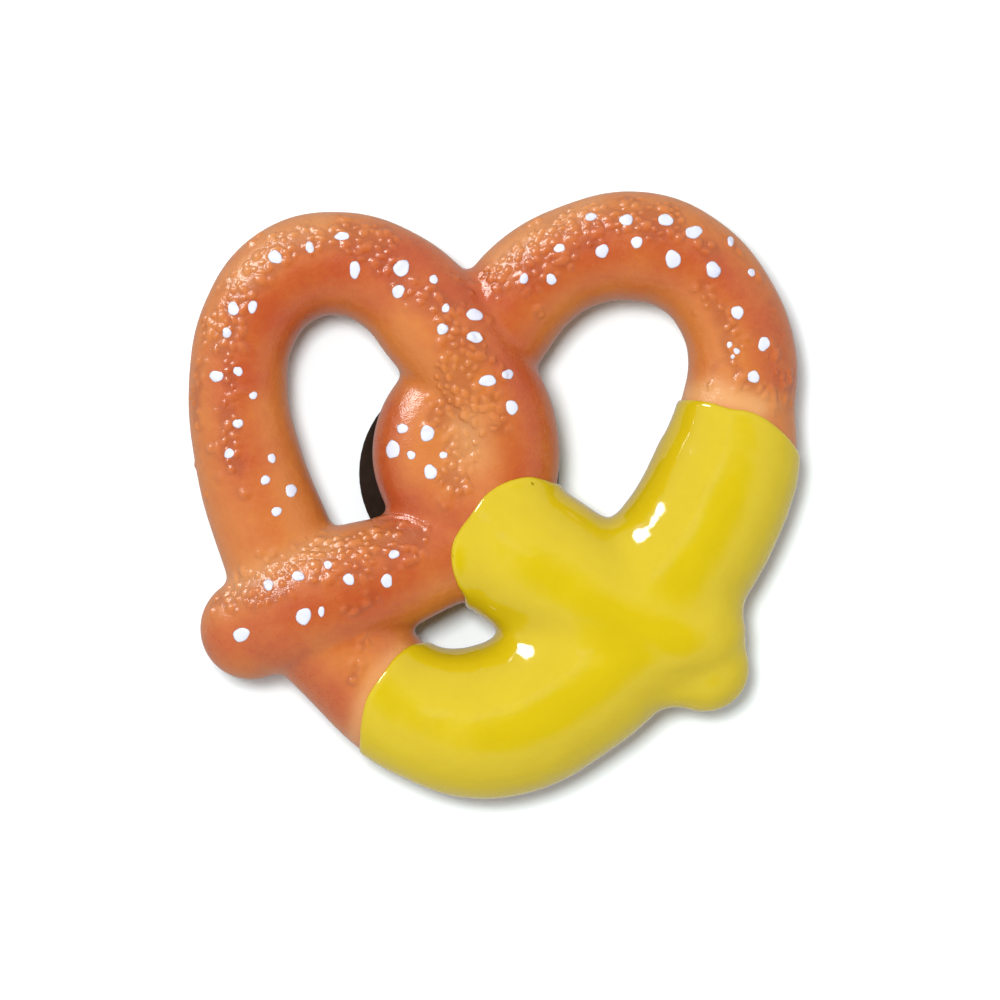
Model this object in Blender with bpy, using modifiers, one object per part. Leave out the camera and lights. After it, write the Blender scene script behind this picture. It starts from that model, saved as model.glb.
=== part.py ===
"""A soft pretzel fridge magnet: one painted resin casting with a flat back, and a disc magnet glued to it.

The casting is one rope of dough: rolled out, crossed twice in the middle and pressed down at both ends.
It lies on its magnet with the shown side up. +Z is towards the viewer, and +Y is the top of the heart.
The origin is the centre of the magnet's back face. Lengths are in metres, and the rope's table is in
millimetres.
"""

import bmesh
import bpy
from mathutils import Vector

MM = 0.001

# Magnet: a stock ferrite disc.
MAGNET_DIAMETER = 25 * MM
MAGNET_THICKNESS = 3 * MM
MAGNET_EDGE_ROUNDING = 0.4 * MM
MAGNET_SIDES = 64

# Casting. Its flat back stands off the magnet by the line of glue.
GLUE_LINE = 0.3 * MM
BACK_Z = MAGNET_THICKNESS + GLUE_LINE
CREASE_FILLET = 0.6 * MM
CREASE_SMOOTHING = 8
VOXEL = 0.5 * MM
CASTING_TRIANGLES = 8600
CUTTER_WIDTH = 120 * MM
CUTTER_DEPTH = 20 * MM

# Rope tube and its end caps.
TUBE_STEPS = 10
TUBE_SIDES = 10
BALL_SEGMENTS = 48
BALL_RINGS = 24

# Stations along the rope, from the dipped end to the bare end, in millimetres:
# (x, y, height of the rope's middle above the casting's back, rope radius).
DIPPED_END = [
    (30.6, -24.2, 3.4, 5.6),
    (28.6, -21.0, 4.2, 7.9),
    (19.8, -17.2, 4.8, 8.5),
    (12.6, -13.0, 4.8, 9.0),
    (7.2, -9.5, 4.8, 9.0),
    (2.8, -5.2, 4.8, 7.8),
]
RIGHT_TWIST = [
    (-3.0, -0.6, 4.6, 7.1),
    (-3.8, 4.3, 4.4, 6.8),
    (0.0, 10.4, 3.8, 6.7),
    (4.8, 18.0, 3.4, 6.8),
]
RIGHT_LOBE = [
    (8.9, 23.4, 3.8, 6.8),
    (15.0, 27.1, 4.0, 6.6),
    (22.6, 28.2, 4.2, 6.9),
    (28.8, 25.9, 4.0, 6.6),
    (33.1, 21.1, 4.0, 6.5),
    (35.3, 14.6, 4.0, 6.8),
    (34.8, 8.2, 4.0, 7.2),
]
RIGHT_SIDE = [
    (33.6, 1.5, 3.6, 8.7),
    (30.9, -5.4, 3.2, 9.2),
    (26.3, -12.6, 3.0, 9.5),
    (21.2, -19.8, 3.2, 9.2),
]
BELLY = [
    (14.0, -26.4, 3.4, 9.5),
    (3.2, -31.1, 3.4, 9.5),
    (-6.0, -29.2, 3.8, 8.0),
    (-12.9, -23.4, 3.8, 7.6),
    (-19.0, -16.8, 3.6, 7.4),
]
LEFT_LOBE = [
    (-23.1, -7.7, 3.8, 7.2),
    (-26.2, 1.5, 4.0, 6.7),
    (-27.5, 11.5, 4.0, 6.2),
    (-26.0, 18.9, 4.0, 6.2),
    (-21.5, 24.5, 4.0, 6.5),
    (-15.0, 26.1, 4.0, 6.5),
    (-8.2, 23.8, 4.4, 6.7),
]
LEFT_TWIST = [
    (-2.6, 18.2, 5.8, 7.2),
    (2.0, 12.2, 6.2, 7.0),
    (5.4, 5.2, 5.4, 6.9),
    (5.2, -2.0, 4.8, 6.9),
    (1.0, -7.8, 4.8, 6.7),
]
BARE_END = [
    (-6.0, -11.5, 5.8, 7.0),
    (-14.4, -14.6, 6.0, 7.9),
    (-21.6, -17.6, 5.6, 7.5),
    (-25.9, -19.4, 4.2, 6.4),
]
ROPE = DIPPED_END + RIGHT_TWIST + RIGHT_LOBE + RIGHT_SIDE + BELLY + LEFT_LOBE + LEFT_TWIST + BARE_END

# The dough pressed into the middle of the twist: its place as a station, and its half sizes, in millimetres.
KNOT_FILLING = (-0.2, 3.4, 4.4, 1.0)
KNOT_FILLING_HALF_SIZES = (6.0, 9.0, 6.6)


def clear_scene():
    for obj in list(bpy.data.objects):
        bpy.data.objects.remove(obj)


def new_collection(name):
    collection = bpy.data.collections.new(name)
    bpy.context.scene.collection.children.link(collection)
    return collection


def move_to(obj, collection):
    for owner in list(obj.users_collection):
        owner.objects.unlink(obj)
    collection.objects.link(obj)


def painted(obj, name, colour, roughness, metallic=0.0):
    material = bpy.data.materials.new(name)
    material.use_nodes = True
    shader = material.node_tree.nodes["Principled BSDF"]
    shader.inputs["Base Color"].default_value = (*colour, 1.0)
    shader.inputs["Roughness"].default_value = roughness
    shader.inputs["Metallic"].default_value = metallic
    obj.data.materials.append(material)


def place_of(station):
    x, y, height, _ = station
    return Vector((x * MM, y * MM, BACK_Z + height * MM))


def make_rope_tube(collection):
    """A round tube through every station, with open ends closed flat."""
    curve = bpy.data.curves.new("rope", "CURVE")
    curve.dimensions = "3D"
    curve.resolution_u = TUBE_STEPS
    curve.bevel_depth = MM
    curve.bevel_resolution = TUBE_SIDES
    curve.use_fill_caps = True
    spline = curve.splines.new("BEZIER")
    spline.radius_interpolation = "CARDINAL"
    spline.bezier_points.add(len(ROPE) - 1)
    for point, station in zip(spline.bezier_points, ROPE):
        point.co = place_of(station)
        point.radius = station[3]
        point.handle_left_type = "AUTO"
        point.handle_right_type = "AUTO"
    rope = bpy.data.objects.new("rope", curve)
    collection.objects.link(rope)
    return rope


def make_ball(station, half_sizes, collection):
    """An ellipsoid at a station: a rope end's cap, or filling."""
    bpy.ops.mesh.primitive_uv_sphere_add(
        segments=BALL_SEGMENTS, ring_count=BALL_RINGS, radius=MM, location=place_of(station)
    )
    ball = bpy.context.object
    ball.scale = half_sizes
    move_to(ball, collection)
    return ball


def merged(objects, name, collection):
    """One mesh object that holds the evaluated shapes of several objects and takes their place."""
    bpy.context.view_layer.update()
    graph = bpy.context.evaluated_depsgraph_get()
    shapes = bmesh.new()
    for obj in objects:
        mesh = bpy.data.meshes.new_from_object(obj.evaluated_get(graph))
        mesh.transform(obj.matrix_world)
        shapes.from_mesh(mesh)
    for obj in objects:
        bpy.data.objects.remove(obj)
    bmesh.ops.remove_doubles(shapes, verts=shapes.verts, dist=0.001 * MM)
    mesh = bpy.data.meshes.new(name)
    shapes.to_mesh(mesh)
    shapes.free()
    whole = bpy.data.objects.new(name, mesh)
    collection.objects.link(whole)
    return whole


def add_remesh(obj):
    remesh = obj.modifiers.new("remesh", "REMESH")
    remesh.mode = "VOXEL"
    remesh.voxel_size = VOXEL


def add_offset(obj, distance):
    offset = obj.modifiers.new("offset", "DISPLACE")
    offset.mid_level = 0.0
    offset.strength = distance


def fillet_creases(obj):
    """Grows the shape and shrinks it back, which rounds every inner crease, then smooths it."""
    add_remesh(obj)
    add_offset(obj, CREASE_FILLET)
    add_remesh(obj)
    add_offset(obj, -CREASE_FILLET)
    add_remesh(obj)
    smooth = obj.modifiers.new("smooth", "SMOOTH")
    smooth.iterations = CREASE_SMOOTHING


def cut_back_flat(obj, cutters):
    """Takes away everything behind the casting's back plane."""
    bpy.ops.mesh.primitive_cube_add(size=1, location=(0, 0, BACK_Z - CUTTER_DEPTH / 2))
    block = bpy.context.object
    block.name = "behind_the_back"
    block.scale = (CUTTER_WIDTH, CUTTER_WIDTH, CUTTER_DEPTH)
    block.hide_render = True
    block.display_type = "WIRE"
    move_to(block, cutters)
    cut = obj.modifiers.new("flat_back", "BOOLEAN")
    cut.operation = "DIFFERENCE"
    cut.object = block


def triangle_count(obj):
    bpy.context.view_layer.update()
    mesh = obj.evaluated_get(bpy.context.evaluated_depsgraph_get()).to_mesh()
    mesh.calc_loop_triangles()
    return len(mesh.loop_triangles)


def thin_out(obj, triangles):
    """Brings the mesh down to this many triangles."""
    share = triangles / triangle_count(obj)
    decimate = obj.modifiers.new("fewer_triangles", "DECIMATE")
    decimate.ratio = min(1.0, share)
    decimate.use_collapse_triangulate = True


def make_casting(parts, cutters):
    rope = make_rope_tube(parts)
    caps = [make_ball(station, [station[3]] * 3, parts) for station in (ROPE[0], ROPE[-1])]
    filling = make_ball(KNOT_FILLING, KNOT_FILLING_HALF_SIZES, parts)
    casting = merged([rope, *caps, filling], "pretzel", parts)
    casting.data.shade_smooth()
    painted(casting, "painted_resin", (0.56, 0.20, 0.06), 0.4)
    fillet_creases(casting)
    cut_back_flat(casting, cutters)
    thin_out(casting, CASTING_TRIANGLES)


def make_magnet(parts):
    bpy.ops.mesh.primitive_cylinder_add(
        vertices=MAGNET_SIDES,
        radius=MAGNET_DIAMETER / 2,
        depth=MAGNET_THICKNESS,
        location=(0, 0, MAGNET_THICKNESS / 2),
    )
    magnet = bpy.context.object
    magnet.name = "magnet"
    move_to(magnet, parts)
    edge = magnet.modifiers.new("rounded_edge", "BEVEL")
    edge.width = MAGNET_EDGE_ROUNDING
    edge.segments = 2
    magnet.data.shade_smooth()
    magnet.data.set_sharp_from_angle(angle=0.6)
    painted(magnet, "ferrite", (0.02, 0.018, 0.016), 0.55)


def main():
    clear_scene()
    parts = new_collection("soft_pretzel_magnet")
    cutters = new_collection("cutters")
    make_casting(parts, cutters)
    make_magnet(parts)


main()
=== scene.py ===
"""A painted soft pretzel fridge magnet, lying on its round magnet, with the shown side up."""
import math
import random

import bmesh
import bpy
import numpy as np
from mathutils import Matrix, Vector, kdtree, noise
from mathutils.bvhtree import BVHTree


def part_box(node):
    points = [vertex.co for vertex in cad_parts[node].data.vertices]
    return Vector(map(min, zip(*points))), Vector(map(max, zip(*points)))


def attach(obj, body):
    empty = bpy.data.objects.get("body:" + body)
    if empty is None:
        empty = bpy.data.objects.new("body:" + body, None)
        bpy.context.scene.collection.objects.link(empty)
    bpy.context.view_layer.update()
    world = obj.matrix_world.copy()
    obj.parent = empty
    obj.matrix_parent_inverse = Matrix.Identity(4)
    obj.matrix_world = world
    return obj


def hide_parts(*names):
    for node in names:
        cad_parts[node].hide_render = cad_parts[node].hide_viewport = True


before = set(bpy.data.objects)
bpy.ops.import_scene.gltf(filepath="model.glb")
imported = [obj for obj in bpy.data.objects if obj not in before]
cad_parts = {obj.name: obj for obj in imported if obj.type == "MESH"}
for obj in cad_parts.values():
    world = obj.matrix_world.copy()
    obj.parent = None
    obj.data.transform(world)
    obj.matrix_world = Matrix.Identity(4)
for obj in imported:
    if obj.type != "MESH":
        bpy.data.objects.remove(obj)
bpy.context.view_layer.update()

MM = 0.001

# ---------------------------------------------------------------------------------------------------------
# The casting. It is filled resin, poured into a rubber mould that was taken from a rope of dough crossed
# twice in the middle. Its back is ground flat. The mould carries the crust's grain: raised crumbs along the
# tops of the strands, and smooth flanks towards the holes.

magnet_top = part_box("magnet")[1].z
back_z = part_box("pretzel")[0].z

# Stations along the rope, from the dipped end to the bare end, in millimetres:
# (x, y, height of the rope's middle above the casting's back, rope radius).
DIPPED_END = [(30.6, -24.2, 3.4, 5.6), (28.6, -21.0, 4.2, 7.9), (19.8, -17.2, 4.8, 8.5),
              (12.6, -13.0, 4.8, 9.0), (7.2, -9.5, 4.8, 9.0), (2.8, -5.2, 4.8, 7.8)]
RIGHT_TWIST = [(-3.0, -0.6, 4.6, 7.1), (-3.8, 4.3, 4.4, 6.8), (0.0, 10.4, 3.8, 6.7), (4.8, 18.0, 3.4, 6.8)]
RIGHT_LOBE = [(8.9, 23.4, 3.8, 6.8), (15.0, 27.1, 4.0, 6.6), (22.6, 28.2, 4.2, 6.9), (28.8, 25.9, 4.0, 6.6),
              (33.1, 21.1, 4.0, 6.5), (35.3, 14.6, 4.0, 6.8), (34.8, 8.2, 4.0, 7.2)]
RIGHT_SIDE = [(33.6, 1.5, 3.6, 8.7), (30.9, -5.4, 3.2, 9.2), (26.3, -12.6, 3.0, 9.5), (21.2, -19.8, 3.2, 9.2)]
BELLY = [(14.0, -26.4, 3.4, 9.5), (3.2, -31.1, 3.4, 9.5), (-6.0, -29.2, 3.8, 8.0), (-12.9, -23.4, 3.8, 7.6),
         (-19.0, -16.8, 3.6, 7.4)]
LEFT_LOBE = [(-23.1, -7.7, 3.8, 7.2), (-26.2, 1.5, 4.0, 6.7), (-27.5, 11.5, 4.0, 6.2),
             (-26.0, 18.9, 4.0, 6.2), (-21.5, 24.5, 4.0, 6.5), (-15.0, 26.1, 4.0, 6.5),
             (-8.2, 23.8, 4.4, 6.7)]
LEFT_TWIST = [(-2.6, 18.2, 5.8, 7.2), (2.0, 12.2, 6.2, 7.0), (5.4, 5.2, 5.4, 6.9), (5.2, -2.0, 4.8, 6.6),
              (1.0, -7.8, 4.8, 6.7)]
BARE_END = [(-6.0, -11.5, 5.8, 7.0), (-14.4, -14.6, 6.0, 7.9), (-21.6, -17.6, 5.6, 7.5),
            (-25.9, -19.4, 4.2, 6.4)]
ROPE = DIPPED_END + RIGHT_TWIST + RIGHT_LOBE + RIGHT_SIDE + BELLY + LEFT_LOBE + LEFT_TWIST + BARE_END

# Dough pressed into the knot, and in beside the dipped end: the middle of each, placed as a station is, and
# its half sizes in millimetres.
KNOT_FILLING = (-0.2, 3.4, 4.4)
KNOT_FILLING_HALF_SIZES = (6.0, 9.0, 6.6)
END_FILLING = (27.6, -24.4, 4.2)
END_FILLING_HALF_SIZES = (4.8, 4.8, 4.9)

CREASE_FILLET = 0.45 * MM
ROUGH_VOXEL = 0.4 * MM
ROUGH_SMOOTHING = 4
CRUST_VOXEL = 0.352 * MM
CRUST_SMOOTHING = 7
ROPE_FINENESS = 12
BALL_SPOKES = 48


def place_of(station):
    x, y, height = station[:3]
    return Vector((x * MM, y * MM, back_z + height * MM))


def linked(mesh, name):
    piece = bpy.data.objects.new(name, mesh)
    bpy.context.scene.collection.objects.link(piece)
    return piece


def baked(piece):
    """The piece's mesh with its modifiers applied. The piece itself goes."""
    bpy.context.view_layer.update()
    graph = bpy.context.evaluated_depsgraph_get()
    mesh = bpy.data.meshes.new_from_object(piece.evaluated_get(graph))
    mesh.transform(piece.matrix_world)
    bpy.data.objects.remove(piece)
    return mesh


def rope_tube():
    curve = bpy.data.curves.new("rope", "CURVE")
    curve.dimensions = "3D"
    curve.resolution_u = ROPE_FINENESS
    curve.bevel_depth = MM
    curve.bevel_resolution = ROPE_FINENESS
    curve.use_fill_caps = True
    spline = curve.splines.new("BEZIER")
    spline.radius_interpolation = "CARDINAL"
    spline.bezier_points.add(len(ROPE) - 1)
    for point, station in zip(spline.bezier_points, ROPE):
        point.co = place_of(station)
        point.radius = station[3]
        point.handle_left_type = "AUTO"
        point.handle_right_type = "AUTO"
    return baked(linked(curve, "rope"))


def ball(station, half_sizes):
    shape = bmesh.new()
    bmesh.ops.create_uvsphere(shape, u_segments=BALL_SPOKES, v_segments=BALL_SPOKES // 2, radius=MM)
    bmesh.ops.scale(shape, vec=half_sizes, verts=shape.verts)
    bmesh.ops.translate(shape, vec=place_of(station), verts=shape.verts)
    mesh = bpy.data.meshes.new("ball")
    shape.to_mesh(mesh)
    shape.free()
    return mesh


def joined(meshes, name):
    shapes = bmesh.new()
    for mesh in meshes:
        shapes.from_mesh(mesh)
        bpy.data.meshes.remove(mesh)
    bmesh.ops.remove_doubles(shapes, verts=shapes.verts, dist=0.001 * MM)
    mesh = bpy.data.meshes.new(name)
    shapes.to_mesh(mesh)
    shapes.free()
    return mesh


def remeshed(piece, voxel):
    remesh = piece.modifiers.new("remesh", "REMESH")
    remesh.mode = "VOXEL"
    remesh.voxel_size = voxel


def grown(piece, distance):
    offset = piece.modifiers.new("offset", "DISPLACE")
    offset.mid_level = 0.0
    offset.strength = distance


def smoothed(piece, steps):
    smooth = piece.modifiers.new("smooth", "SMOOTH")
    smooth.iterations = steps


def modelled_dough():
    """The rope's whole outer skin, its crossings run together with a small fillet."""
    balls = [ball(ROPE[0], [ROPE[0][3]] * 3), ball(ROPE[-1], [ROPE[-1][3]] * 3)]
    balls.append(ball(KNOT_FILLING, KNOT_FILLING_HALF_SIZES))
    balls.append(ball(END_FILLING, END_FILLING_HALF_SIZES))
    piece = linked(joined([rope_tube(), *balls], "dough"), "dough")
    remeshed(piece, ROUGH_VOXEL)
    grown(piece, CREASE_FILLET)
    remeshed(piece, ROUGH_VOXEL)
    grown(piece, -CREASE_FILLET)
    smoothed(piece, ROUGH_SMOOTHING)
    remeshed(piece, CRUST_VOXEL)
    smoothed(piece, CRUST_SMOOTHING)
    return baked(piece)


def points_of(mesh):
    points = np.empty(len(mesh.vertices) * 3)
    mesh.vertices.foreach_get("co", points)
    return points.reshape(-1, 3)


def normals_of(mesh):
    normals = np.empty(len(mesh.vertices) * 3)
    mesh.vertices.foreach_get("normal", normals)
    return normals.reshape(-1, 3)


def ground_flat(mesh, height, fill):
    """Cuts away everything behind the height, and closes the cut where fill is set."""
    shape = bmesh.new()
    shape.from_mesh(mesh)
    everything = list(shape.verts) + list(shape.edges) + list(shape.faces)
    cut = bmesh.ops.bisect_plane(
        shape, geom=everything, plane_co=(0, 0, height), plane_no=(0, 0, 1), clear_inner=True
    )
    rim = [item for item in cut["geom_cut"] if isinstance(item, bmesh.types.BMEdge)]
    if fill:
        bmesh.ops.triangle_fill(shape, use_beauty=True, edges=rim, normal=(0, 0, -1))
    shape.to_mesh(mesh)
    shape.free()


def strokes_at(points, strokes):
    """How strongly each point is covered by soft round strokes, 0 to 1. Seen from above, in millimetres."""
    bare = np.ones(len(points))
    plan = points[:, :2] / MM
    for half_width, strength, route in strokes:
        nearest = np.full(len(plan), 1e9)
        for start, end in zip(route, route[1:]):
            start, end = np.array(start), np.array(end)
            run = end - start
            share = np.clip(((plan - start) @ run) / (run @ run), 0, 1)
            nearest = np.minimum(nearest, np.linalg.norm(plan - start - share[:, None] * run, axis=1))
        bare *= 1 - strength * np.exp(-((nearest / half_width) ** 2))
    return 1 - bare


# Where the mould's grain stands up: (half width, strength, route seen from above), in millimetres.
GRAIN_STROKES = [
    (2.3, 1.0, [(-28.3, 18), (-27.3, 21.5), (-25.6, 25), (-22.5, 27.8), (-18.5, 29), (-14, 29), (-10.5, 28)]),
    (1.7, 0.62, [(-28.6, 17), (-28.9, 13), (-28, 8), (-28.3, 3), (-27.5, -1)]),
    (1.2, 0.4, [(-31.5, 20), (-32.6, 12), (-32.6, 4), (-31.6, -3)]),
    (2.4, 0.72, [(-10.5, 28), (-8, 25), (-5, 22.6), (-1.5, 19.4), (0.8, 16), (0.5, 13.4)]),
    (2.2, 0.68, [(-1.4, 13), (-1.2, 9.5), (-2.2, 6.8)]),
    (2.9, 0.8, [(0.8, 8), (0.6, 3), (-0.6, -0.6)]),
    (1.8, 0.5, [(2.2, 16), (5.4, 12), (3.4, 8.6), (5.2, 5.6)]),
    (2.0, 0.85, [(3.8, 24), (8, 26.6), (10.4, 29), (14, 31), (18, 32.2), (22, 32.6), (26, 31.6)]),
    (1.8, 0.62, [(7.6, 24), (11, 25.2), (13.8, 26), (17, 29.5), (21, 30.5), (25, 30)]),
    (1.6, 0.5, [(26, 31.6), (29.5, 28.6), (31.5, 27.4)]),
    (1.3, 0.5, [(8.6, 21.6), (9.8, 20.4)]),
    (1.7, 0.66, [(30.2, 23.2), (31.6, 20.4), (33.6, 18.6), (34, 16), (34.6, 13.6), (35, 11.4), (37, 10.2)]),
    (1.2, 0.5, [(31.4, 12.6), (31.2, 10.8)]),
    (1.3, 0.42, [(33.5, 29), (37, 25.4), (39.4, 21)]),
    (1.9, 0.45, [(38, 15.5), (40, 11.5), (40.4, 8.5)]),
    (2.0, 0.95, [(-28.6, -15.6), (-25.5, -13.2), (-22, -11.4), (-17, -9.8), (-13.5, -9.2), (-9, -9),
                 (-5, -8.2)]),
    (1.7, 0.52, [(-25, -16.4), (-20, -13.6), (-12, -11.8), (-6, -11.2)]),
    (1.4, 0.42, [(-13.6, -15), (-10.4, -16), (-13, -17)]),
    (1.4, 0.55, [(-11.6, -21), (-12, -22.8), (-13.6, -25.4)]),
]
GRAIN_SPACING = 0.92 * MM
GRAIN_RADIUS = (0.36 * MM, 0.82 * MM)
GRAIN_HEIGHT = (0.15 * MM, 0.44 * MM)
GRAIN_TRIES = 60000
GRAIN_SMALLNESS = 1.6
GRAIN_STRETCH = 1.7
GRAIN_ROUNDNESS = 1.2
PIT_SHARE = 0.15
PIT_DEPTH = 0.6
FLANK_FADE = 1.6
FLANK_SHARE = 0.1
CLUSTER_SIZE = 2.0 * MM
CLUSTER_CONTRAST = 0.9
CLUSTER_GAIN = 1.9
CLUSTER_LOSS = 1.25
RAGGED_SIZE = 0.5 * MM
RAGGEDNESS = 0.35


def grain_seeds(points, cover, rng):
    """Points of the skin, at least a spacing apart, that are the middles of crumbs and pits."""
    taken = {}
    seeds = []
    for _ in range(GRAIN_TRIES):
        index = rng.randrange(len(points))
        if rng.random() > cover[index]:
            continue
        point = points[index]
        cell = tuple((point / GRAIN_SPACING).astype(int))
        near = [
            other
            for dx in (-1, 0, 1)
            for dy in (-1, 0, 1)
            for dz in (-1, 0, 1)
            for other in taken.get((cell[0] + dx, cell[1] + dy, cell[2] + dz), ())
        ]
        if any(np.linalg.norm(point - points[other]) < GRAIN_SPACING for other in near):
            continue
        taken.setdefault(cell, []).append(index)
        seeds.append(index)
    return seeds


def grain_relief(points, normals, seed):
    """Height of the grain at each point, in metres: oval crumbs that run into each other, and a few pits."""
    rng = random.Random(seed)
    cover = strokes_at(points, GRAIN_STROKES) * np.clip(normals[:, 2] * FLANK_FADE + FLANK_SHARE, 0, 1)
    clusters = np.array([noise.noise(Vector(point / CLUSTER_SIZE)) for point in points])
    between = np.clip(0.5 + CLUSTER_CONTRAST * clusters, 0, 1)
    cover = np.clip(CLUSTER_GAIN * cover - CLUSTER_LOSS * between, 0, 1)
    tree = kdtree.KDTree(len(points))
    for index, point in enumerate(points):
        tree.insert(point, index)
    tree.balance()
    relief = np.zeros(len(points))
    for index in grain_seeds(points, cover, rng):
        size = rng.random() ** GRAIN_SMALLNESS
        radius = GRAIN_RADIUS[0] + (GRAIN_RADIUS[1] - GRAIN_RADIUS[0]) * size
        tallness = rng.uniform(0.4 * size, 0.4 + 0.6 * size)
        height = GRAIN_HEIGHT[0] + (GRAIN_HEIGHT[1] - GRAIN_HEIGHT[0]) * tallness
        if rng.random() < PIT_SHARE:
            height *= -PIT_DEPTH
        turn = rng.uniform(0, math.pi)
        long_way = np.array((math.cos(turn), math.sin(turn), 0.0))
        stretch = rng.uniform(1.0, GRAIN_STRETCH)
        for _, near, _ in tree.find_range(points[index], radius * stretch):
            away = points[near] - points[index]
            along = away @ long_way
            across = math.sqrt(max(0.0, away @ away - along * along))
            ragged = 1 + RAGGEDNESS * noise.noise(Vector(points[near] / RAGGED_SIZE))
            reach = math.hypot(along / stretch, across) / radius * ragged
            if reach < 1:
                bump = height * (1 - reach * reach) ** GRAIN_ROUNDNESS
                relief[near] = max(relief[near], bump) if bump > 0 else relief[near] + bump
    return relief, cover


# Where the airbrush has laid the red-brown bake over the tan: as the strokes above.
BAKE_STROKES = [
    (3.6, 0.7, [(-26.5, 2), (-27.2, 8), (-27, 13)]),
    (3.7, 0.88, [(-27, 13), (-25.3, 18.6), (-22, 22.6), (-17.5, 25), (-12.5, 26), (-8, 26.6)]),
    (3.2, 0.6, [(-22.4, 18), (-18.4, 22), (-13.5, 22.6), (-10, 22.4)]),
    (3.6, 0.88, [(-8, 26.6), (-3.5, 25), (1, 22), (5, 17), (8, 11), (9, 5), (8.2, 0)]),
    (2.4, 0.4, [(-5, 22), (-1, 18)]),
    (3.2, 0.35, [(-27, 0), (-25.5, -6)]),
    (2.6, 0.85, [(-8.6, 7), (-9.6, 1), (-8.2, -4)]),
    (3.2, 0.7, [(-6, -4.6), (-2.4, -6), (0.6, -5.6)]),
    (2.6, 0.6, [(-3, -7.4), (-1.6, -11)]),
    (3.2, 0.85, [(9, 24.5), (12.4, 26.6), (18, 28.4), (24, 28.4), (30, 26.6), (35, 23),
                 (38.4, 18.4), (39.6, 12.5)]),
    (2.6, 0.55, [(4.6, 22), (7.6, 19.4), (8.6, 17)]),
    (2.4, 0.4, [(10, 23), (18, 24.4), (26, 23.8)]),
    (3.0, 0.75, [(-31, -22), (-27, -19.4), (-20, -17.2), (-12, -15.6), (-6, -13)]),
    (2.8, 0.5, [(-10, -12.4), (-5, -9.6)]),
    (2.4, 0.35, [(-24, -14.6), (-14, -12)]),
    (3.4, 0.55, [(-24.2, -22.4), (-17.6, -19.4), (-9, -18.6)]),
    (3.4, 0.6, [(-19.6, -25.2), (-15.5, -28), (-13.4, -32)]),
]


def stored(mesh, name, values):
    attribute = mesh.attributes.new(name, "FLOAT", "POINT")
    attribute.data.foreach_set("value", np.asarray(values, np.float32))


def finer_where(mesh, chosen):
    """Splits every face whose corners are all chosen into four."""
    shape = bmesh.new()
    shape.from_mesh(mesh)
    wanted = [face for face in shape.faces if all(chosen[vert.index] for vert in face.verts)]
    edges = {edge for face in wanted for edge in face.edges}
    bmesh.ops.subdivide_edges(shape, edges=list(edges), cuts=1, use_grid_fill=True)
    shape.to_mesh(mesh)
    shape.free()


# The mesh is made finer where the grain stands up, and along the edge of the bare end.
GRAINED = 0.42
BARE_END_EDGE = [(0.8, 1.0, [(-10.5, -5.75), (-6.2, -5.6), (-3.6, -7.5)])]
dough = modelled_dough()
crust_mesh = dough.copy()
crust_points = points_of(crust_mesh)
grained = strokes_at(crust_points, GRAIN_STROKES + BARE_END_EDGE) > GRAINED
facing_up = normals_of(crust_mesh)[:, 2] > 0
finer_where(crust_mesh, grained & facing_up)
crust_points = points_of(crust_mesh)
crust_relief, grain_cover = grain_relief(crust_points, normals_of(crust_mesh), seed=7)

# The line where the dip ends, seen from above, in millimetres: over the right lobe, round the arm that lies
# on the twist, and across the belly. Between them the line runs through the holes and outside the casting.
DIP_LINE_ON_LOBE = [(27.0, 9.0), (28.5, 9.1), (31.0, 8.8), (33.6, 8.0), (36.1, 7.6), (38.5, 6.4), (41.0, 4.2),
                    (43.0, 1.5)]
DIP_LINE_ON_BELLY = [(-12.5, -36.5), (-12.3, -33.9), (-12.1, -31.0), (-11.4, -28.0), (-10.0, -25.7),
                     (-8.9, -24.2), (-7.9, -22.9), (-6.1, -21.5), (-4.0, -21.1), (-1.5, -20.5)]
DIP_LINE_ON_ARM = [(0.9, -17.0), (0.7, -15.4), (-0.1, -14.0), (-0.8, -11.8), (-0.9, -9.4), (-0.1, -7.4),
                   (1.5, -5.2), (3.2, -2.9), (5.5, -1.3), (8.4, -0.5), (10.4, -0.8),
                   (12.2, -1.4), (14.2, -1.6)]
DIP_LINE_OUTSIDE = [(47, 0), (47, -47), (-12.5, -47)]
DIP_LINE_IN_HOLE = [(16, -2), (24, 9)]
LINE_STEPS = 6


def smooth_line(corners):
    """A Catmull-Rom curve through the corners."""
    padded = np.array([corners[0], *corners, corners[-1]], float)
    line = []
    for a, b, c, d in zip(padded, padded[1:], padded[2:], padded[3:]):
        for t in np.arange(LINE_STEPS) / LINE_STEPS:
            bend = (2 * a - 5 * b + 4 * c - d) * t**2
            twist = (3 * b - a - 3 * c + d) * t**3
            line.append(0.5 * (2 * b + (c - a) * t + bend + twist))
    line.append(padded[-1])
    return line


dip_outline = np.array(
    smooth_line(DIP_LINE_ON_LOBE) + [np.array(p, float) for p in DIP_LINE_OUTSIDE]
    + smooth_line(DIP_LINE_ON_BELLY) + smooth_line(DIP_LINE_ON_ARM)
    + [np.array(p, float) for p in DIP_LINE_IN_HOLE]
)


def into_dip(points):
    """How far each point lies inside the dip line, seen from above, in millimetres. Negative is outside."""
    plan = points[:, :2] / MM
    nearest = np.full(len(plan), 1e9)
    inside = np.zeros(len(plan), bool)
    for start, end in zip(dip_outline, np.roll(dip_outline, -1, axis=0)):
        run = end - start
        share = np.clip(((plan - start) @ run) / (run @ run), 0, 1)
        nearest = np.minimum(nearest, np.linalg.norm(plan - start - share[:, None] * run, axis=1))
        if start[1] != end[1]:
            crosses = (plan[:, 1] > start[1]) != (plan[:, 1] > end[1])
            level = start[0] + (plan[:, 1] - start[1]) * run[0] / run[1]
            inside ^= crosses & (plan[:, 0] < level)
    return np.where(inside, nearest, -nearest)


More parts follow.
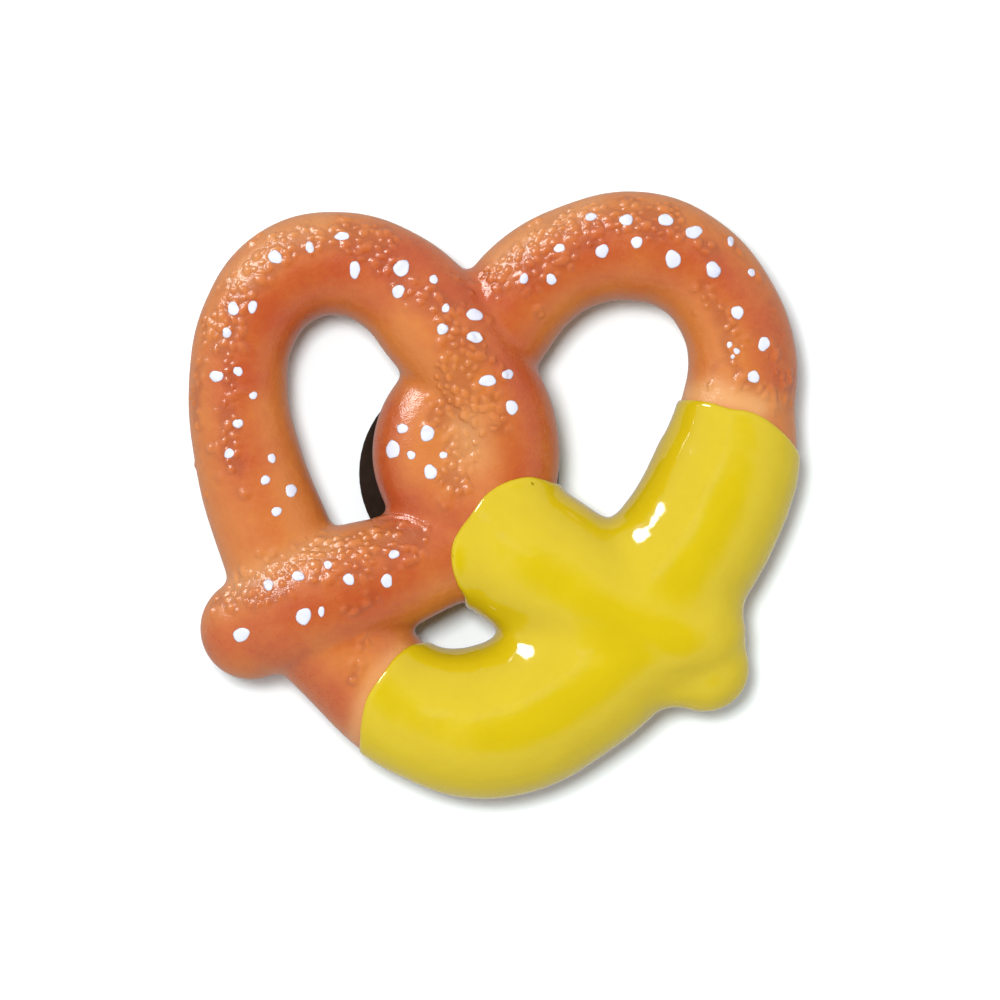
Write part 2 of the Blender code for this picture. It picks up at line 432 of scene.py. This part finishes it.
# A fine ridge left by the mould where the bare end lies over the knot, in millimetres.
MOULD_RIDGE = [(0.16, 1.0, [(-10.5, -5.75), (-8.4, -5.3), (-6.2, -5.6), (-4.6, -6.4), (-3.6, -7.5)])]
RIDGE_HEIGHT = 0.11 * MM
crust_relief = np.maximum(crust_relief, strokes_at(crust_points, MOULD_RIDGE) * RIDGE_HEIGHT)

# The grain fades out just before the dip, and under the dip the casting lies lower, starting a little inside
# the dip's line. GRAIN_FADE, SUNK_FROM and SUNK_OVER are in millimetres, as into_dip gives them.
GRAIN_FADE = 0.7
SUNK_FROM = 0.3
SUNK_OVER = 0.7
SUNK_UNDER_DIP = 0.5 * MM
dipped = into_dip(crust_points)
crust_relief *= np.clip(-dipped / GRAIN_FADE, 0, 1)
crust_relief -= SUNK_UNDER_DIP * np.clip((dipped - SUNK_FROM) / SUNK_OVER, 0, 1)
raised = crust_points + normals_of(crust_mesh) * crust_relief[:, None]
crust_mesh.vertices.foreach_set("co", raised.ravel())

# Where the tan is lighter, as the strokes above: left pale beside the dip and on the knot, there partly a
# painted highlight, and a painted highlight along the upper outer flanks of the lobes and the bare end,
# towards the upper left.
PALE_AND_HIGHLIGHT_STROKES = [
    (1.8, 0.85, [(27.6, 9.8), (32, 9.8), (37, 8.2)]),
    (1.3, 0.55, [(-7, -22), (-10, -25), (-12, -29), (-13, -33)]),
    (2.6, 0.5, [(0.8, 5.4), (1.4, 2.4)]),
    (1.8, 0.3, [(-27.5, 24.4), (-23, 29), (-17, 31.2)]),
    (1.6, 0.3, [(5, 27), (12, 31.6), (17, 33.4)]),
    (1.8, 0.4, [(-28, -14), (-22, -11), (-16, -8.6)]),
]

# Painted shade in the recesses between the crumbs: how much of it there is, and how high up them it reaches.
RECESS_SHADE_GAIN = 1.4
RECESS_SHADE_DEPTH = 0.16 * MM
recess_shade_cover = np.clip(grain_cover * RECESS_SHADE_GAIN, 0, 1) * np.clip(1 - crust_relief / RECESS_SHADE_DEPTH, 0, 1)
stored(crust_mesh, "bake", strokes_at(crust_points, BAKE_STROKES))
stored(crust_mesh, "pale_and_highlight", strokes_at(crust_points, PALE_AND_HIGHLIGHT_STROKES))
stored(crust_mesh, "grain", crust_relief / GRAIN_HEIGHT[1])
stored(crust_mesh, "recess_shade", recess_shade_cover)
ground_flat(crust_mesh, back_z, fill=True)

# Under the dip the crust never shows, so its mesh is coarser there.
UNDER_DIP_DEPTH = 1.5
UNDER_DIP_SHARE = 0.12
crust = linked(crust_mesh, "crust_casting")
hidden = into_dip(points_of(crust_mesh)) > UNDER_DIP_DEPTH
hidden_group = crust.vertex_groups.new(name="under_dip")
hidden_group.add([int(i) for i in np.flatnonzero(hidden)], 1.0, "REPLACE")
coarser = crust.modifiers.new("coarser_under_dip", "DECIMATE")
coarser.vertex_group = "under_dip"
coarser.ratio = 1 - (1 - UNDER_DIP_SHARE) * float(hidden.mean())
crust_mesh = baked(crust)
crust_mesh.shade_smooth()
crust = linked(crust_mesh, "crust_casting")


def new_material(name):
    material = bpy.data.materials.new(name)
    material.use_nodes = True
    tree = material.node_tree
    shader = tree.nodes["Principled BSDF"]
    return material, tree, shader


def new_group(name, inputs, outputs):
    """An empty shader group. inputs and outputs are (name, socket type, value)."""
    group = bpy.data.node_groups.new(name, "ShaderNodeTree")
    for label, kind, value in inputs:
        socket = group.interface.new_socket(label, in_out="INPUT", socket_type=kind)
        socket.default_value = value
    for label, kind in outputs:
        group.interface.new_socket(label, in_out="OUTPUT", socket_type=kind)
    return group, group.nodes.new("NodeGroupInput"), group.nodes.new("NodeGroupOutput")


def maths(tree, operation, first, second, clamp=False):
    """A Math node. Each of first and second is a socket or a number."""
    node = tree.nodes.new("ShaderNodeMath")
    node.operation = operation
    node.use_clamp = clamp
    for slot_number, value in enumerate((first, second)):
        if isinstance(value, bpy.types.NodeSocket):
            tree.links.new(value, node.inputs[slot_number])
        else:
            node.inputs[slot_number].default_value = value
    return node.outputs[0]


def mixed(tree, share, first, second):
    """A colour between first and second. Each of them is a socket or a colour."""
    node = tree.nodes.new("ShaderNodeMix")
    node.data_type = "RGBA"
    tree.links.new(share, node.inputs["Factor"])
    for socket, value in ((node.inputs[6], first), (node.inputs[7], second)):
        if isinstance(value, bpy.types.NodeSocket):
            tree.links.new(value, socket)
        else:
            socket.default_value = (*value, 1.0)
    return node.outputs[2]


def patches(tree, size, detail=2.0):
    """Noise with patches about this size, in metres."""
    place = tree.nodes.new("ShaderNodeTexCoord")
    cloud = tree.nodes.new("ShaderNodeTexNoise")
    cloud.inputs["Scale"].default_value = 1 / size
    cloud.inputs["Detail"].default_value = detail
    tree.links.new(place.outputs["Object"], cloud.inputs["Vector"])
    return cloud.outputs["Fac"]


def make_sprayed_coat():
    """Group: one colour sprayed over another by hand, uneven and speckled at the edges of the spray."""
    group, given, out = new_group(
        "sprayed_coat",
        [("Under Colour", "NodeSocketColor", (1, 1, 1, 1)), ("Top Colour", "NodeSocketColor", (1, 1, 1, 1)),
         ("Cover", "NodeSocketFloat", 0.5), ("Unevenness", "NodeSocketFloat", 0.3)],
        [("Colour", "NodeSocketColor"), ("Cover", "NodeSocketFloat")],
    )
    broad = maths(group, "SUBTRACT", patches(group, 5 * MM), 0.5)
    fine = maths(group, "SUBTRACT", patches(group, 0.9 * MM, detail=3.0), 0.5)
    both = maths(group, "ADD", maths(group, "MULTIPLY", broad, 1.6), maths(group, "MULTIPLY", fine, 0.8))
    uneven = maths(group, "MULTIPLY", both, given.outputs["Unevenness"])
    cover = maths(group, "ADD", given.outputs["Cover"], uneven, clamp=True)
    colour = mixed(group, cover, given.outputs["Under Colour"], given.outputs["Top Colour"])
    group.links.new(colour, out.inputs["Colour"])
    group.links.new(cover, out.inputs["Cover"])
    return group


def make_fine_skin():
    """Group: the small unevenness of a hand-finished surface, as a height from 0 to 1."""
    group, given, out = new_group(
        "fine_skin",
        [("Orange Peel", "NodeSocketFloat", 0.5), ("Tooth", "NodeSocketFloat", 0.5)],
        [("Height", "NodeSocketFloat")],
    )
    peel = maths(group, "MULTIPLY", patches(group, 1.3 * MM, detail=1.0), given.outputs["Orange Peel"])
    tooth = maths(group, "MULTIPLY", patches(group, 0.25 * MM, detail=2.0), given.outputs["Tooth"])
    group.links.new(maths(group, "ADD", peel, tooth), out.inputs["Height"])
    return group


sprayed_coat = make_sprayed_coat()
fine_skin = make_fine_skin()


def add_coat(tree, under, top, cover, unevenness):
    node = tree.nodes.new("ShaderNodeGroup")
    node.node_tree = sprayed_coat
    for label, value in (("Under Colour", under), ("Top Colour", top)):
        if isinstance(value, bpy.types.NodeSocket):
            tree.links.new(value, node.inputs[label])
        else:
            node.inputs[label].default_value = (*value, 1.0)
    if isinstance(cover, bpy.types.NodeSocket):
        tree.links.new(cover, node.inputs["Cover"])
    else:
        node.inputs["Cover"].default_value = cover
    node.inputs["Unevenness"].default_value = unevenness
    return node


def add_skin(tree, shader, orange_peel, tooth, depth):
    node = tree.nodes.new("ShaderNodeGroup")
    node.node_tree = fine_skin
    node.inputs["Orange Peel"].default_value = orange_peel
    node.inputs["Tooth"].default_value = tooth
    bump = tree.nodes.new("ShaderNodeBump")
    bump.inputs["Distance"].default_value = depth
    tree.links.new(node.outputs["Height"], bump.inputs["Height"])
    tree.links.new(bump.outputs["Normal"], shader.inputs["Normal"])


def named(tree, attribute):
    node = tree.nodes.new("ShaderNodeAttribute")
    node.attribute_name = attribute
    return node.outputs["Fac"]


def spread(tree, value, low, high):
    """The value, 0 to 1, stretched to run from low to high."""
    node = tree.nodes.new("ShaderNodeMapRange")
    tree.links.new(value, node.inputs["Value"])
    node.inputs["To Min"].default_value = low
    node.inputs["To Max"].default_value = high
    return node.outputs["Result"]


CRUST_TAN = (0.50, 0.156, 0.031)
CRUST_BROWN = (0.395, 0.070, 0.018)
# A pale tan, partly a painted highlight.
CRUST_PALE_AND_HIGHLIGHT = (0.62, 0.31, 0.115)
# Painted highlight for the tops of the crumbs.
CRUST_CRUMB_HIGHLIGHT = (0.56, 0.17, 0.045)
# Painted shade for the recesses between the crumbs.
CRUST_RECESS_SHADE = (0.24, 0.045, 0.014)
BARE_RESIN = (0.62, 0.52, 0.38)
BAKE_UNEVENNESS = 0.55
CRUMB_HIGHLIGHT_STRENGTH = 0.3
RECESS_SHADE_STRENGTH = 0.4
BACK_FACING = -0.95
TAN_ROUGHNESS = 0.32
BROWN_ROUGHNESS = 0.26
GROUND_ROUGHNESS = 0.85


def crust_paint():
    material, tree, shader = new_material("crust_paint")
    baked_on = add_coat(tree, CRUST_TAN, CRUST_BROWN, named(tree, "bake"), BAKE_UNEVENNESS)
    # Painted highlight: the higher a crumb stands, the lighter its top. Then painted shade between the
    # crumbs.
    crumb_highlight = maths(tree, "MULTIPLY", named(tree, "grain"), CRUMB_HIGHLIGHT_STRENGTH, clamp=True)
    grain_painted_light = mixed(tree, crumb_highlight, baked_on.outputs["Colour"], CRUST_CRUMB_HIGHLIGHT)
    # Painted shade between the crumbs, darkest where the skin lies lowest among them.
    recess_shade = maths(tree, "MULTIPLY", named(tree, "recess_shade"), RECESS_SHADE_STRENGTH, clamp=True)
    grain_painted_light = mixed(tree, recess_shade, grain_painted_light, CRUST_RECESS_SHADE)
    # Lighter beside the dip and on the knot, partly a painted highlight, and a painted highlight on the upper
    # outer flanks.
    lightened = mixed(tree, named(tree, "pale_and_highlight"), grain_painted_light, CRUST_PALE_AND_HIGHLIGHT)
    facing = tree.nodes.new("ShaderNodeNewGeometry")
    turned = tree.nodes.new("ShaderNodeSeparateXYZ")
    tree.links.new(facing.outputs["Normal"], turned.inputs["Vector"])
    at_back = maths(tree, "LESS_THAN", turned.outputs["Z"], BACK_FACING)
    tree.links.new(mixed(tree, at_back, lightened, BARE_RESIN), shader.inputs["Base Color"])
    gloss = spread(tree, baked_on.outputs["Cover"], TAN_ROUGHNESS, BROWN_ROUGHNESS)
    ground = maths(tree, "MULTIPLY", at_back, GROUND_ROUGHNESS)
    tree.links.new(maths(tree, "MAXIMUM", gloss, ground), shader.inputs["Roughness"])
    add_skin(tree, shader, orange_peel=1.0, tooth=0.5, depth=0.10 * MM)
    return material


crust_mesh.materials.append(crust_paint())
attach(crust, "root")
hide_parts("pretzel")

# ---------------------------------------------------------------------------------------------------------
# The mustard dip. It is a thick yellow enamel, poured over the lower right of the casting before it was
# fully set, so it stands proud of the crust with a soft rounded lip and has levelled to a gloss.

DIP_VOXEL = 0.5 * MM
DIP_SMOOTHING = 9
DIP_THICKNESS = 0.45 * MM
DIP_THIN = 0.12 * MM
DIP_WAVE = 0.06 * MM
DIP_WAVE_LENGTH = 2.6 * MM
DIP_INTO_CRUST = 0.35 * MM
DIP_BACK_GAP = 0.02 * MM
POOLING_ROUNDS = 45
# Distances in from the dip's line, in millimetres, as into_dip gives them.
DIP_RUN = 5.0
POOLING_EDGE = 3.0
DIP_LIP = 0.75
ON_THE_LINE = 1e-5
LIP_STEPS = (0.0, 0.04, 0.12, 0.25, 0.45, 0.7, 1.0)


def split_along(shape, layer, level):
    """Adds an edge wherever the layer's value passes the level."""
    crossed = [e for e in shape.edges if (e.verts[0][layer] - level) * (e.verts[1][layer] - level) < 0]
    made = []
    for edge in crossed:
        start, end = edge.verts
        share = (level - start[layer]) / (end[layer] - start[layer])
        _, vert = bmesh.utils.edge_split(edge, start, min(max(share, 0.02), 0.98))
        vert[layer] = level
        made.append(vert)
    bmesh.ops.connect_verts(shape, verts=made)


def pooled(mesh):
    """Fills the hollows, as wet enamel does, leaving the ridges where they are."""
    ends = np.empty(len(mesh.edges) * 2, int)
    mesh.edges.foreach_get("vertices", ends)
    here, there = np.concatenate([ends.reshape(-1, 2), ends.reshape(-1, 2)[:, ::-1]]).T
    points = points_of(mesh)
    normals = normals_of(mesh)
    count = np.bincount(here, minlength=len(points))
    free = np.clip(into_dip(points) / POOLING_EDGE, 0, 1)
    for _ in range(POOLING_ROUNDS):
        sums = [np.bincount(here, points[there, axis], len(points)) for axis in range(3)]
        middle = np.array(sums).T / count[:, None]
        rise = ((middle - points) * normals).sum(axis=1)
        points += normals * (np.maximum(rise, 0) * free)[:, None]
    mesh.vertices.foreach_set("co", points.ravel())


def poured_dip():
    """The dipped part of the dough's skin, raised to the enamel's thickness inside its lip."""
    piece = linked(dough.copy(), "dip")
    remeshed(piece, DIP_VOXEL)
    smoothed(piece, DIP_SMOOTHING)
    mesh = baked(piece)
    pooled(mesh)
    ground_flat(mesh, back_z + DIP_BACK_GAP, fill=False)
    shape = bmesh.new()
    shape.from_mesh(mesh)
    layer = shape.verts.layers.float.new("into_dip")
    for vert, value in zip(shape.verts, into_dip(points_of(mesh))):
        vert[layer] = value
    for step in LIP_STEPS:
        split_along(shape, layer, step * DIP_LIP)
    outside = [vert for vert in shape.verts if vert[layer] < -ON_THE_LINE]
    bmesh.ops.delete(shape, geom=outside, context="VERTS")
    shape.to_mesh(mesh)
    inward = np.array([vert[layer] for vert in shape.verts])
    shape.free()
    share = np.clip(inward / DIP_LIP, 0, 1)
    thickness = DIP_THIN + (DIP_THICKNESS - DIP_THIN) * np.exp(-((inward / DIP_RUN) ** 2))
    waves = [noise.noise(Vector(point / DIP_WAVE_LENGTH)) for point in points_of(mesh)]
    height = (thickness + DIP_WAVE * np.array(waves)) * np.sqrt(1 - (1 - share) ** 2)
    raised_points = points_of(mesh) + normals_of(mesh) * height[:, None]
    raised_points[:, 2] = np.maximum(raised_points[:, 2], back_z + DIP_BACK_GAP)
    mesh.vertices.foreach_set("co", raised_points.ravel())
    return mesh


dip = linked(poured_dip(), "mustard_dip")
inside = dip.modifiers.new("into_crust", "SOLIDIFY")
inside.thickness = DIP_INTO_CRUST
inside.offset = -1
dip_mesh = baked(dip)
dip_mesh.name = "mustard_dip"
dip_mesh.shade_smooth()
dip = linked(dip_mesh, "mustard_dip")

MUSTARD = (0.55, 0.415, 0.006)
MUSTARD_THIN = (0.50, 0.365, 0.004)
MUSTARD_ROUGHNESS = (0.06, 0.11)


def mustard_enamel():
    material, tree, shader = new_material("mustard_enamel")
    coat = add_coat(tree, MUSTARD, MUSTARD_THIN, 0.4, 0.5)
    tree.links.new(coat.outputs["Colour"], shader.inputs["Base Color"])
    tree.links.new(spread(tree, patches(tree, 9 * MM), *MUSTARD_ROUGHNESS), shader.inputs["Roughness"])
    add_skin(tree, shader, orange_peel=0.5, tooth=0.0, depth=0.05 * MM)
    return material


dip_mesh.materials.append(mustard_enamel())
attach(dip, "root")

# ---------------------------------------------------------------------------------------------------------
# The salt. Each grain is a dab of thick white paint, put on by hand with a fine brush: a low dome that
# follows the crust under it. A few dabs missed and broke into two or three small ones.

# (x, y, across, up and down), in millimetres, seen from above.
SALT_LEFT_LOBE = [
    (-22.8, 26.8, 1.8, 1.8), (-18.5, 28.0, 1.1, 1.6), (-14.5, 29.4, 1.8, 1.2), (-12.9, 25.2, 1.5, 2.2),
    (-7.1, 25.4, 2.0, 2.3), (-7.5, 22.5, 1.6, 1.8), (-3.1, 24.0, 1.2, 1.1), (-1.6, 20.4, 1.0, 1.2),
    (-2.0, 17.8, 1.4, 1.6), (2.0, 19.6, 2.1, 1.6), (2.0, 16.8, 2.1, 1.5), (-28.0, 20.4, 1.6, 1.7),
    (-25.6, 20.6, 1.2, 1.7), (-28.8, 17.4, 1.3, 1.3), (-30.1, 12.0, 1.7, 1.6), (-27.4, 12.6, 1.2, 1.3),
    (-25.5, 9.6, 1.1, 1.0), (-27.4, 6.1, 1.3, 1.3), (-28.5, 2.4, 1.3, 1.3), (-23.2, 1.8, 1.1, 1.2),
    (-24.0, -0.9, 1.2, 1.3), (-20.8, -2.2, 1.6, 1.6), (-22.6, -4.8, 1.3, 1.3),
]
SALT_TWIST = [
    (3.6, 11.4, 2.1, 1.6), (6.1, 12.2, 1.4, 1.4), (6.6, 8.1, 1.7, 1.8), (-7.0, 5.5, 1.4, 1.4),
    (-3.9, 4.9, 2.0, 2.0), (-8.2, 2.9, 1.7, 2.6), (-5.9, 2.2, 1.2, 1.1), (-1.9, 2.2, 1.0, 1.0),
    (-3.5, 0.1, 1.6, 2.1),
]
SALT_RIGHT_LOBE = [
    (8.1, 24.1, 1.1, 1.5), (11.5, 24.0, 1.4, 1.4), (12.5, 27.9, 1.5, 1.1), (16.4, 31.8, 1.6, 1.0),
    (17.8, 27.5, 1.8, 1.7), (20.8, 31.4, 1.7, 1.6), (22.1, 28.6, 1.4, 1.7), (25.7, 31.4, 2.1, 1.5),
    (29.2, 29.9, 2.2, 1.7), (26.6, 26.5, 2.2, 2.2), (31.6, 25.2, 2.0, 2.1), (33.8, 28.8, 0.9, 1.3),
    (36.4, 24.9, 1.0, 1.0), (34.6, 19.9, 1.5, 1.9), (37.9, 16.0, 1.5, 1.9), (33.6, 15.9, 0.7, 0.9),
    (34.5, 15.1, 0.9, 0.8), (34.0, 14.4, 0.6, 0.6), (36.6, 11.9, 1.7, 1.5),
]
SALT_BARE_END = [
    (-27.0, -20.1, 2.1, 1.9), (-23.6, -13.9, 1.4, 1.4), (-19.9, -12.8, 1.8, 1.2), (-16.2, -11.4, 1.0, 1.2),
    (-13.6, -13.2, 1.5, 1.5), (-8.9, -13.4, 1.6, 1.7), (-8.0, -10.1, 1.5, 1.1), (-19.2, -17.8, 2.1, 2.1),
    (-17.0, -17.2, 0.9, 1.3),
]
SALT_RINGS = 6
SALT_SPOKES = 18
SALT_HEIGHT = 0.16 * MM
SALT_ROOT = 0.12 * MM
SALT_EDGE_SINK = 0.02 * MM
SALT_LOOK_DOWN = 40 * MM
SALT_SEED = 11
# How the outline wavers: (waves round the dab, depth as a share of its radius).
SALT_WOBBLE = ((2, 0.09), (3, 0.05), (5, 0.03))


def tree_of(mesh):
    """The mesh's surface, ready for rays to be cast at it."""
    faces = [tuple(face.vertices) for face in mesh.polygons]
    return BVHTree.FromPolygons([vert.co for vert in mesh.vertices], faces)


def dab_of_salt(dab, crust_tree, rng, verts, faces):
    """Adds one closed dab: a dome over the crust and a point under it."""
    x, y, across, tall = (value * MM for value in dab)
    twist = [rng.uniform(0, 2 * math.pi) for _ in range(3)]
    first = len(verts)
    for ring in range(SALT_RINGS + 1):
        out = ring / SALT_RINGS
        for spoke in range(SALT_SPOKES if ring else 1):
            turn = 2 * math.pi * spoke / SALT_SPOKES
            wobble = 1.0
            for (waves, depth), offset in zip(SALT_WOBBLE, twist):
                wobble += depth * math.sin(waves * turn + offset)
            dx = 0.5 * across * out * wobble * math.cos(turn)
            dy = 0.5 * tall * out * wobble * math.sin(turn)
            start = Vector((x + dx, y + dy, SALT_LOOK_DOWN))
            spot, normal, _, _ = crust_tree.ray_cast(start, Vector((0, 0, -1)))
            lift = SALT_HEIGHT * math.sqrt(max(0.0, 1 - out**3)) - SALT_EDGE_SINK * out
            verts.append(spot + normal.lerp(Vector((0, 0, 1)), 0.5) * lift)
    root = len(verts)
    verts.append(verts[first] + Vector((0, 0, -SALT_HEIGHT - SALT_ROOT)))

    def corner(ring, spoke):
        return first if ring == 0 else first + 1 + (ring - 1) * SALT_SPOKES + spoke % SALT_SPOKES

    for spoke in range(SALT_SPOKES):
        faces.append((first, corner(1, spoke), corner(1, spoke + 1)))
        faces.append((root, corner(SALT_RINGS, spoke + 1), corner(SALT_RINGS, spoke)))
        for ring in range(1, SALT_RINGS):
            faces.append((corner(ring, spoke), corner(ring + 1, spoke), corner(ring + 1, spoke + 1),
                          corner(ring, spoke + 1)))


def painted_salt():
    crust_tree = tree_of(crust_mesh)
    rng = random.Random(SALT_SEED)
    verts, faces = [], []
    for dab in SALT_LEFT_LOBE + SALT_TWIST + SALT_RIGHT_LOBE + SALT_BARE_END:
        dab_of_salt(dab, crust_tree, rng, verts, faces)
    mesh = bpy.data.meshes.new("salt_dabs")
    mesh.from_pydata(verts, [], faces)
    mesh.shade_smooth()
    return mesh


SALT_WHITE = (0.65, 0.67, 0.77)
SALT_SHADE = (0.55, 0.57, 0.72)


def salt_paint():
    material, tree, shader = new_material("salt_paint")
    coat = add_coat(tree, SALT_WHITE, SALT_SHADE, 0.35, 0.8)
    tree.links.new(coat.outputs["Colour"], shader.inputs["Base Color"])
    tree.links.new(spread(tree, coat.outputs["Cover"], 0.35, 0.5), shader.inputs["Roughness"])
    add_skin(tree, shader, orange_peel=0.4, tooth=0.4, depth=0.03 * MM)
    return material


salt = linked(painted_salt(), "salt_dabs")
salt.data.materials.append(salt_paint())
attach(salt, "root")

# ---------------------------------------------------------------------------------------------------------
# The magnet. It is a stock disc of pressed and sintered ferrite, ground on both faces, nearly black.

FERRITE = (0.013, 0.007, 0.004)
FERRITE_WORN = (0.030, 0.019, 0.014)


def ground_ferrite():
    material, tree, shader = new_material("ground_ferrite")
    coat = add_coat(tree, FERRITE, FERRITE_WORN, 0.25, 0.9)
    tree.links.new(coat.outputs["Colour"], shader.inputs["Base Color"])
    tree.links.new(spread(tree, coat.outputs["Cover"], 0.5, 0.7), shader.inputs["Roughness"])
    shader.inputs["Specular IOR Level"].default_value = 0.15
    add_skin(tree, shader, orange_peel=0.2, tooth=0.8, depth=0.04 * MM)
    return material


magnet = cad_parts["magnet"]
magnet.data.materials.clear()
magnet.data.materials.append(ground_ferrite())

# ---------------------------------------------------------------------------------------------------------
# The glue. A thin film of clear epoxy holds the disc to the casting's back, squeezed out nearly to the
# disc's edge, and it stops short where the disc looks out of the holes.

GLUE_REACH = 12.1 * MM
GLUE_SPOKES = 90
GLUE_STEP = 0.1 * MM
GLUE_MARGIN = 0.4 * MM
GLUE_OVERLAP = 0.02 * MM
GLUE_BELLY = 0.12 * MM
GLUE_WAVES = (0.25 * MM, 0.15 * MM)


def squeezed_glue():
    """A closed film between the disc and the casting, with a slightly bulging rim."""
    crust_tree = tree_of(crust_mesh)
    middle = (magnet_top + back_z) / 2
    levels = ((magnet_top - GLUE_OVERLAP, 0.0), (middle, GLUE_BELLY), (back_z + GLUE_OVERLAP, 0.0))
    reaches = []
    for spoke in range(GLUE_SPOKES):
        turn = 2 * math.pi * spoke / GLUE_SPOKES
        outward = Vector((math.cos(turn), math.sin(turn), 0))
        furthest = GLUE_REACH + GLUE_WAVES[0] * math.sin(3 * turn) - GLUE_WAVES[1] * math.sin(7 * turn)
        reach = GLUE_STEP
        while reach < furthest:
            start = outward * (reach + GLUE_MARGIN) + Vector((0, 0, middle))
            if crust_tree.ray_cast(start, Vector((0, 0, 1)), back_z - magnet_top)[0] is None:
                break
            reach += GLUE_STEP
        reaches.append((outward, reach))
    verts = [Vector((0, 0, levels[0][0])), Vector((0, 0, levels[-1][0]))]
    for height, bulge in levels:
        for outward, reach in reaches:
            verts.append(outward * (reach + bulge) + Vector((0, 0, height)))
    faces = []
    last = 2 + GLUE_SPOKES * (len(levels) - 1)
    for spoke in range(GLUE_SPOKES):
        following = (spoke + 1) % GLUE_SPOKES
        faces.append((0, 2 + following, 2 + spoke))
        faces.append((1, last + spoke, last + following))
        for level in range(len(levels) - 1):
            low = 2 + level * GLUE_SPOKES
            high = low + GLUE_SPOKES
            faces.append((low + spoke, low + following, high + following, high + spoke))
    mesh = bpy.data.meshes.new("glue_film")
    mesh.from_pydata(verts, [], faces)
    mesh.shade_smooth()
    return mesh


GLUE = (0.52, 0.46, 0.34)
GLUE_THICK = (0.38, 0.32, 0.21)


def clear_epoxy():
    material, tree, shader = new_material("clear_epoxy")
    coat = add_coat(tree, GLUE, GLUE_THICK, 0.5, 0.8)
    tree.links.new(coat.outputs["Colour"], shader.inputs["Base Color"])
    tree.links.new(spread(tree, coat.outputs["Cover"], 0.15, 0.3), shader.inputs["Roughness"])
    return material


glue = linked(squeezed_glue(), "glue_film")
glue.data.materials.append(clear_epoxy())
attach(glue, "root")

# ---------------------------------------------------------------------------------------------------------
# The studio. A plain white table in a white tent. A lamp nearly overhead gives the shadows, and a small low
# lamp at the upper left gives only highlights. The tent is dark in a patch nearly overhead, which keeps the
# gloss from going milky, and dims a little towards the table.

FLOOR_HALF = 1.5
TABLE_WHITE = (0.84, 0.90, 0.92)


def white_table():
    shape = bmesh.new()
    bmesh.ops.create_grid(shape, x_segments=1, y_segments=1, size=FLOOR_HALF)
    mesh = bpy.data.meshes.new("table")
    shape.to_mesh(mesh)
    shape.free()
    material, tree, shader = new_material("white_table")
    shader.inputs["Base Color"].default_value = (*TABLE_WHITE, 1)
    shader.inputs["Roughness"].default_value = 0.9
    shader.inputs["Specular IOR Level"].default_value = 0.0
    mesh.materials.append(material)
    return linked(mesh, "table")


table = white_table()
table.visible_glossy = False


def softbox(name, from_direction, distance, width, power):
    light = bpy.data.lights.new(name, "AREA")
    light.shape = "SQUARE"
    light.size = width
    light.energy = power
    lamp = linked(light, name)
    direction = Vector(from_direction).normalized()
    lamp.location = direction * distance
    lamp.rotation_euler = direction.to_track_quat("Z", "Y").to_euler()
    lamp.visible_camera = False
    return lamp


GLINT_FROM = (-0.66, 0.66, 0.36)
OVERHEAD_FROM = (-0.13, 0.14, 1.0)
glint = softbox("glint", GLINT_FROM, distance=0.9, width=0.33, power=9.0)
glint.data.shape = "DISK"
glint.visible_diffuse = False
overhead = softbox("overhead", OVERHEAD_FROM, distance=1.0, width=0.25, power=9.4)
overhead.visible_glossy = False

TENT = 0.8
DARK_CEILING = 0.05
DARK_TOWARDS = (0.22, -0.30, 0.93)
DARK_EDGE = (0.78, 0.95)
HORIZON = (-0.05, 0.35)
HORIZON_SHARE = 0.7
world = bpy.data.worlds.new("studio")
world.use_nodes = True
around = world.node_tree
direction = around.nodes.new("ShaderNodeTexCoord")
toward = around.nodes.new("ShaderNodeVectorMath")
toward.operation = "DOT_PRODUCT"
toward.inputs[1].default_value = DARK_TOWARDS
around.links.new(direction.outputs["Generated"], toward.inputs[0])
tent = around.nodes.new("ShaderNodeMapRange")
tent.inputs["From Min"].default_value = DARK_EDGE[0]
tent.inputs["From Max"].default_value = DARK_EDGE[1]
tent.inputs["To Min"].default_value = TENT
tent.inputs["To Max"].default_value = DARK_CEILING
around.links.new(toward.outputs["Value"], tent.inputs["Value"])
upward = around.nodes.new("ShaderNodeSeparateXYZ")
around.links.new(direction.outputs["Generated"], upward.inputs["Vector"])
low_down = around.nodes.new("ShaderNodeMapRange")
low_down.inputs["From Min"].default_value = HORIZON[0]
low_down.inputs["From Max"].default_value = HORIZON[1]
low_down.inputs["To Min"].default_value = HORIZON_SHARE
low_down.inputs["To Max"].default_value = 1.0
around.links.new(upward.outputs["Z"], low_down.inputs["Value"])
dimmed = maths(around, "MULTIPLY", tent.outputs["Result"], low_down.outputs["Result"])
background = around.nodes["Background"]
background.inputs["Color"].default_value = (1, 1, 1, 1)
around.links.new(dimmed, background.inputs["Strength"])
bpy.context.scene.world = world
bpy.context.scene.view_settings.view_transform = "Standard"

VIEW_CENTRE = (5.125 * MM, -3.375 * MM)
VIEW_WIDTH = 125 * MM
VIEW_HEIGHT = 1.5
camera = bpy.data.cameras.new("camera")
camera.sensor_width = 36
camera.lens = camera.sensor_width * VIEW_HEIGHT / VIEW_WIDTH
camera.clip_end = 10
camera_object = linked(camera, "camera")
camera_object.location = (*VIEW_CENTRE, VIEW_HEIGHT + back_z)
bpy.context.scene.camera = camera_object
